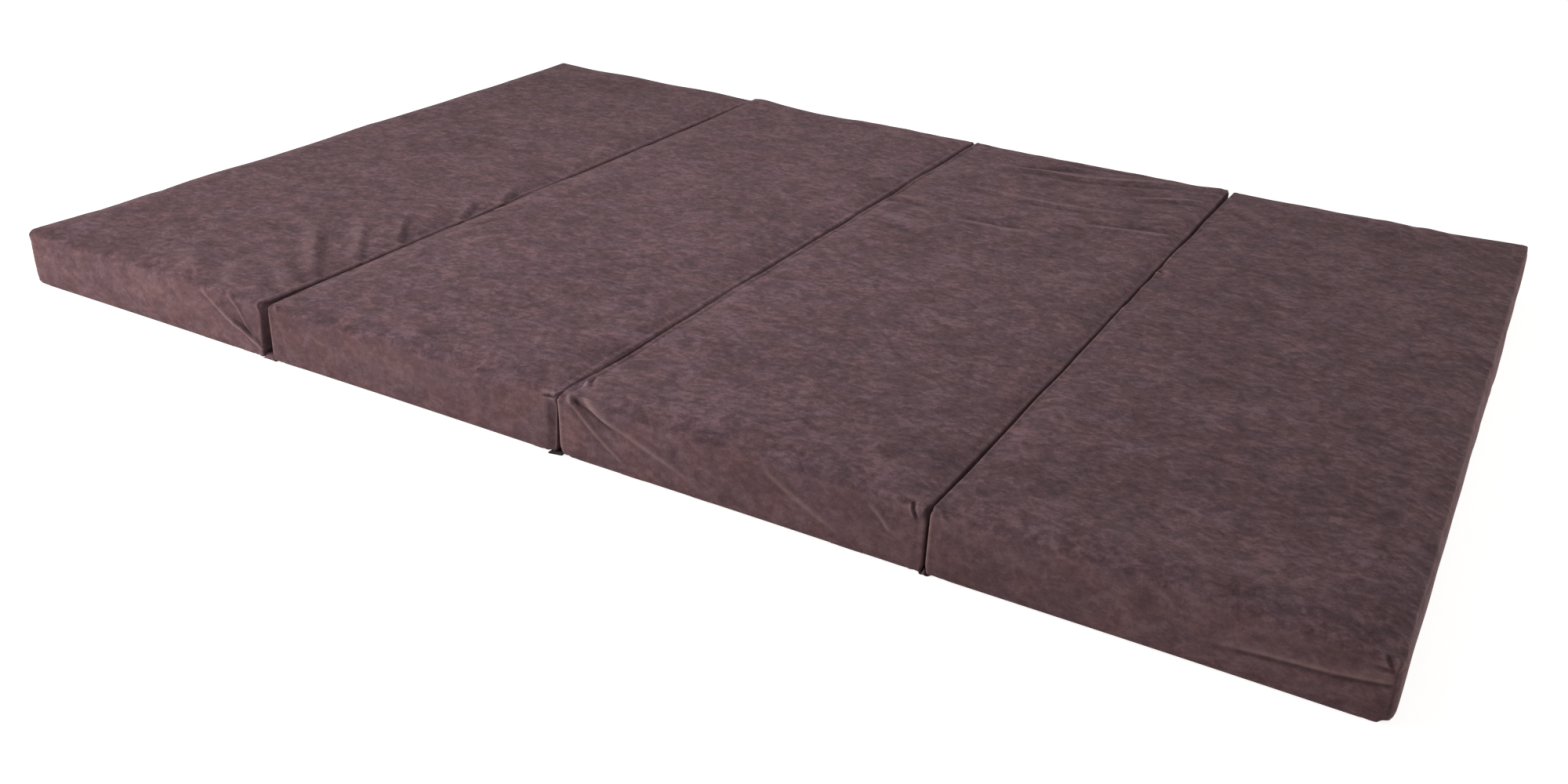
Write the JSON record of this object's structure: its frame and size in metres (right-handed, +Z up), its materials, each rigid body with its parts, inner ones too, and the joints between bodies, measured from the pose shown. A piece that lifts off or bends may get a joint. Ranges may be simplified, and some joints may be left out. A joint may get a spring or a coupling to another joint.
{
  "type": "folding chair bed",
  "caption": "Folding foam bed of hinged padded panels in one velour cover fabric, laid out flat; folds into a seat with a back or a stack.",
  "frame": {"origin": "on the floor under the middle of the opened bed", "axes": "+X along the bed from panel 1 to panel 4, +Y towards the zipped far ends, +Z up"},
  "size_m": [1.994, 1.3558, 0.0915],
  "materials": {
    "velour": "mottled velour, matt with a soft sheen",
    "base_cloth": "plain woven cloth, matt",
    "foam": "open-cell polyurethane foam, matt",
    "zip_tape": "woven polyester tape with a nylon coil",
    "zip_metal": "lacquered zinc, satin"
  },
  "bodies": {
    "panel_1": {"panel_1_foam_core": "foam", "panel_1_cover": "velour", "panel_1_base_cloth": "base_cloth", "panel_1_zip_tape_upper": "zip_tape", "panel_1_zip_tape_lower": "zip_tape"},
    "panel_2": {"panel_2_foam_core": "foam", "panel_2_cover": "velour", "panel_2_base_cloth": "base_cloth", "panel_2_zip_tape_upper": "zip_tape", "panel_2_zip_tape_lower": "zip_tape", "fold_1_hinge_strip": "velour", "fold_2_hinge_strip": "velour"},
    "panel_3": {"panel_3_foam_core": "foam", "panel_3_cover": "velour", "panel_3_base_cloth": "base_cloth", "panel_3_zip_tape_upper": "zip_tape", "panel_3_zip_tape_lower": "zip_tape", "fold_3_hinge_strip": "velour"},
    "panel_4": {"panel_4_foam_core": "foam", "panel_4_cover": "velour", "panel_4_base_cloth": "base_cloth", "panel_4_zip_tape_upper": "zip_tape", "panel_4_zip_tape_lower": "zip_tape"},
    "slider_1": {"panel_1_zip_slider": "zip_metal"},
    "slider_2": {"panel_2_zip_slider": "zip_metal"},
    "slider_3": {"panel_3_zip_slider": "zip_metal"},
    "slider_4": {"panel_4_zip_slider": "zip_metal"},
    "pull_1": {"panel_1_zip_pull": "zip_metal"},
    "pull_2": {"panel_2_zip_pull": "zip_metal"},
    "pull_3": {"panel_3_zip_pull": "zip_metal"},
    "pull_4": {"panel_4_zip_pull": "zip_metal"}
  },
  "joints": [
    {"name": "fold_1", "type": "hinge", "parent": "panel_2", "child": "panel_1", "pos_m": [-0.5, 0, -0.0005], "axis": [0, -1, 0], "range_deg": [0, 180], "deforming": ["fold_1_hinge_strip"]},
    {"name": "fold_2", "type": "hinge", "parent": "panel_2", "child": "panel_3", "pos_m": [0, 0, 0.092], "axis": [0, -1, 0], "range_deg": [0, 180], "deforming": ["fold_2_hinge_strip"]},
    {"name": "fold_3", "type": "hinge", "parent": "panel_3", "child": "panel_4", "pos_m": [0.5, 0, -0.0005], "axis": [0, 1, 0], "range_deg": [0, 180], "deforming": ["fold_3_hinge_strip"]},
    {"name": "zip_1_slide", "type": "slide", "parent": "panel_1", "child": "slider_1", "axis": [1, 0, 0], "range_m": [-0.4, 0]},
    {"name": "zip_2_slide", "type": "slide", "parent": "panel_2", "child": "slider_2", "axis": [1, 0, 0], "range_m": [-0.4, 0]},
    {"name": "zip_3_slide", "type": "slide", "parent": "panel_3", "child": "slider_3", "axis": [1, 0, 0], "range_m": [-0.4, 0]},
    {"name": "zip_4_slide", "type": "slide", "parent": "panel_4", "child": "slider_4", "axis": [1, 0, 0], "range_m": [-0.4, 0]},
    {"name": "pull_1_swing", "type": "hinge", "parent": "slider_1", "child": "pull_1", "pos_m": [-0.55, 0.6753, 0.03725], "axis": [0, 0, -1], "range_deg": [0, 180]},
    {"name": "pull_2_swing", "type": "hinge", "parent": "slider_2", "child": "pull_2", "pos_m": [-0.05, 0.6753, 0.03725], "axis": [0, 0, -1], "range_deg": [0, 180]},
    {"name": "pull_3_swing", "type": "hinge", "parent": "slider_3", "child": "pull_3", "pos_m": [0.45, 0.6753, 0.03725], "axis": [0, 0, -1], "range_deg": [0, 180]},
    {"name": "pull_4_swing", "type": "hinge", "parent": "slider_4", "child": "pull_4", "pos_m": [0.95, 0.6753, 0.03725], "axis": [0, 0, -1], "range_deg": [0, 180]}
  ]
}
